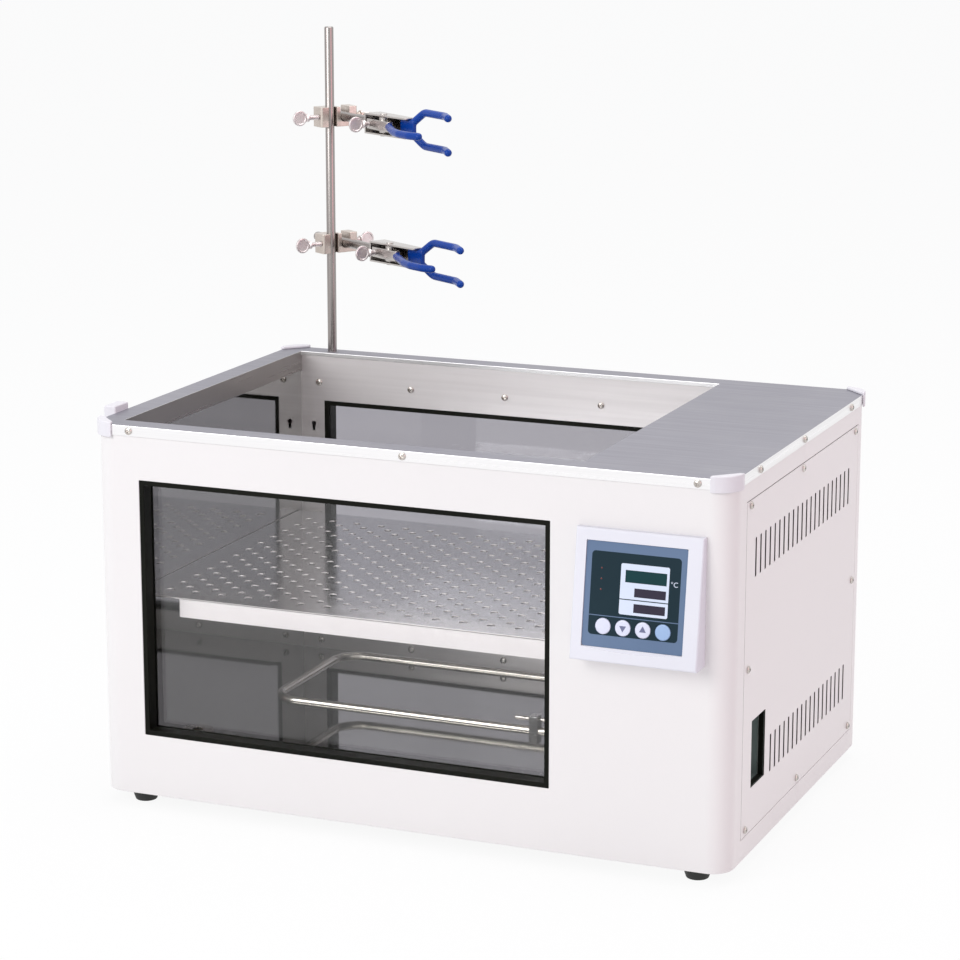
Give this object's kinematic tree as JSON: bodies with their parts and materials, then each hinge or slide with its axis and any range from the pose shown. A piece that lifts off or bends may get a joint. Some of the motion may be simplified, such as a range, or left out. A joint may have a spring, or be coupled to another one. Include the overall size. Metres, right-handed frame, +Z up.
{
  "type": "laboratory water bath",
  "caption": "Glazed bench-top water bath with open tank, perforated shelf, sloping control panel, louvred side cover and clamps on a stand rod",
  "frame": {"origin": "On the bench, under the middle of the box round everything, cap at the back and control panel at the front included.", "axes": "+Z up, -Y towards the user at the control panel, +X to the user's right."},
  "size_m": [0.6172, 0.467, 0.678],
  "materials": {
    "enamel": "satin white enamel",
    "stainless": "satin stainless steel",
    "tank_steel": "polished stainless steel",
    "nickel": "bright nickel plate",
    "cap_plastic": "pale moulded plastic",
    "bezel_plastic": "pale moulded plastic",
    "panel_film": "printed film over a plate",
    "display": "dark display window",
    "button_plastic": "soft keys",
    "glass": "tempered glass",
    "rubber": "black rubber",
    "circuit": "circuit board",
    "black_plastic": "black moulded plastic",
    "grey_plastic": "grey moulded plastic",
    "heater_steel": "heated steel sheath",
    "brass": "turned brass",
    "vinyl": "blue vinyl coat",
    "heat_sink": "extruded aluminium"
  },
  "bodies": {
    "bath": {"base_plate": "stainless", "front_shell": "enamel", "rear_shell": "enamel", "side_cover": "enamel", "cover_screws": "nickel", "tank": "tank_steel", "top_frame": "stainless", "rim_screws": "nickel", "corner_cap_front_left": "cap_plastic", "corner_cap_front_right": "cap_plastic", "corner_cap_rear_left": "cap_plastic", "corner_cap_rear_right": "cap_plastic", "glass_front": "glass", "glass_rear": "glass", "gasket_front": "rubber", "gasket_rear": "rubber", "window_frames": "stainless", "window_screws": "nickel", "shelf_supports": "stainless", "heater": "heater_steel", "heater_glands": "brass", "sensor_clip": "heater_steel", "temperature_sensor": "heater_steel", "control_bezel": "bezel_plastic", "control_panel": "panel_film", "display_windows": "display", "control_board": "circuit", "breaker_body": "grey_plastic", "terminal_block": "grey_plastic", "relay": "heat_sink", "drain_fitting": "brass", "drain_pipe": "brass", "rim_block": "cap_plastic", "cord_gland": "black_plastic", "rubber_feet": "rubber", "rod_socket": "brass"},
    "shelf": {"shelf": "stainless"},
    "breaker_lever": {"breaker_lever": "black_plastic"},
    "drain_cap": {"drain_cap": "black_plastic"},
    "stand_rod": {"stand_rod": "stainless"},
    "button_1": {"button_1": "button_plastic"},
    "button_2": {"button_2": "button_plastic"},
    "button_3": {"button_3": "button_plastic"},
    "button_4": {"button_4": "button_plastic"},
    "boss_upper": {"boss_upper": "nickel"},
    "upright_screw_upper": {"upright_screw_upper": "nickel"},
    "cross_screw_upper": {"cross_screw_upper": "nickel"},
    "clamp_rod_upper": {"clamp_rod_upper": "stainless"},
    "clamp_head_upper": {"clamp_head_upper": "stainless", "fork_upper": "vinyl"},
    "finger_upper": {"finger_upper": "vinyl"},
    "jaw_screw_upper": {"jaw_screw_upper": "nickel"},
    "boss_lower": {"boss_lower": "nickel"},
    "upright_screw_lower": {"upright_screw_lower": "nickel"},
    "cross_screw_lower": {"cross_screw_lower": "nickel"},
    "clamp_rod_lower": {"clamp_rod_lower": "stainless"},
    "clamp_head_lower": {"clamp_head_lower": "stainless", "fork_lower": "vinyl"},
    "finger_lower": {"finger_lower": "vinyl"},
    "jaw_screw_lower": {"jaw_screw_lower": "nickel"}
  },
  "joints": [
    {"name": "shelf_lift", "type": "slide", "parent": "bath", "child": "shelf", "axis": [0, 0, 1], "range_m": [0, 0.15]},
    {"name": "button_1_press", "type": "slide", "parent": "bath", "child": "button_1", "axis": [0, 0.9899, -0.142], "range_m": [0, 0.0006], "stiffness_N_per_m": 1500, "springref_m": -0.0003},
    {"name": "button_2_press", "type": "slide", "parent": "bath", "child": "button_2", "axis": [0, 0.9899, -0.142], "range_m": [0, 0.0006], "stiffness_N_per_m": 1500, "springref_m": -0.0003},
    {"name": "button_3_press", "type": "slide", "parent": "bath", "child": "button_3", "axis": [0, 0.9899, -0.142], "range_m": [0, 0.0006], "stiffness_N_per_m": 1500, "springref_m": -0.0003},
    {"name": "button_4_press", "type": "slide", "parent": "bath", "child": "button_4", "axis": [0, 0.9899, -0.142], "range_m": [0, 0.0006], "stiffness_N_per_m": 1500, "springref_m": -0.0003},
    {"name": "breaker_toggle", "type": "hinge", "parent": "bath", "child": "breaker_lever", "pos_m": [0.2875, -0.1418, 0.101], "axis": [0, 1, 0], "range_deg": [0, 30]},
    {"name": "drain_cap_turn", "type": "hinge", "parent": "bath", "child": "drain_cap", "pos_m": [-0.2422, 0.2282, 0.026], "axis": [0, 1, 0], "range_deg": [0, 720]},
    {"name": "stand_rod_turn", "type": "hinge", "parent": "bath", "child": "stand_rod", "pos_m": [-0.2445, 0.1827, 0.355], "axis": [0, 0, 1], "range_deg": [-150, 150]},
    {"name": "boss_upper_height", "type": "slide", "parent": "stand_rod", "child": "boss_upper", "axis": [0, 0, 1], "range_m": [-0.02, 0.07]},
    {"name": "upright_screw_upper_turn", "type": "hinge", "parent": "boss_upper", "child": "upright_screw_upper", "pos_m": [-0.25332, 0.17056, 0.59], "axis": [-0.5878, -0.809, 0], "range_deg": [0, 360]},
    {"name": "cross_screw_upper_turn", "type": "hinge", "parent": "boss_upper", "child": "cross_screw_upper", "pos_m": [-0.22869, 0.20829, 0.59], "axis": [0.5878, 0.809, 0], "range_deg": [0, 360]},
    {"name": "clamp_rod_upper_reach", "type": "slide", "parent": "boss_upper", "child": "clamp_rod_upper", "axis": [0.809, -0.5878, 0], "range_m": [-0.045, 0.02]},
    {"name": "clamp_head_upper_roll", "type": "hinge", "parent": "clamp_rod_upper", "child": "clamp_head_upper", "pos_m": [-0.18236, 0.15424, 0.59], "axis": [0.809, -0.5878, 0], "range_deg": [-90, 90]},
    {"name": "finger_upper_close", "type": "hinge", "parent": "clamp_head_upper", "child": "finger_upper", "pos_m": [-0.16529, 0.13689, 0.59], "axis": [0, 0, 1], "range_deg": [-5, 12]},
    {"name": "jaw_screw_upper_travel", "type": "slide", "parent": "finger_upper", "child": "jaw_screw_upper", "axis": [0.5878, 0.809, 0], "range_m": [-0.0014, 0.0032]},
    {"name": "boss_lower_height", "type": "slide", "parent": "stand_rod", "child": "boss_lower", "axis": [0, 0, 1], "range_m": [-0.06, 0.015]},
    {"name": "upright_screw_lower_turn", "type": "hinge", "parent": "boss_lower", "child": "upright_screw_lower", "pos_m": [-0.25245, 0.16998, 0.4645], "axis": [-0.5299, -0.848, 0], "range_deg": [0, 360]},
    {"name": "cross_screw_lower_turn", "type": "hinge", "parent": "boss_lower", "child": "cross_screw_lower", "pos_m": [-0.23051, 0.20933, 0.4645], "axis": [0.5299, 0.848, 0], "range_deg": [0, 360]},
    {"name": "clamp_rod_lower_reach", "type": "slide", "parent": "boss_lower", "child": "clamp_rod_lower", "axis": [0.848, -0.5299, 0], "range_m": [-0.045, 0.02]},
    {"name": "clamp_head_lower_roll", "type": "hinge", "parent": "clamp_rod_lower", "child": "clamp_head_lower", "pos_m": [-0.18053, 0.15864, 0.4645], "axis": [0.848, -0.5299, 0], "range_deg": [-90, 90]},
    {"name": "finger_lower_close", "type": "hinge", "parent": "clamp_head_lower", "child": "finger_lower", "pos_m": [-0.16229, 0.14253, 0.4645], "axis": [0, 0, 1], "range_deg": [-5, 12]},
    {"name": "jaw_screw_lower_travel", "type": "slide", "parent": "finger_lower", "child": "jaw_screw_lower", "axis": [0.5299, 0.848, 0], "range_m": [-0.0014, 0.0032]}
  ],
  "couplings": [
    {"joint": "jaw_screw_upper_travel", "follows": "finger_upper_close", "m_per_rad": 0.0145},
    {"joint": "jaw_screw_lower_travel", "follows": "finger_lower_close", "m_per_rad": 0.0145}
  ]
}
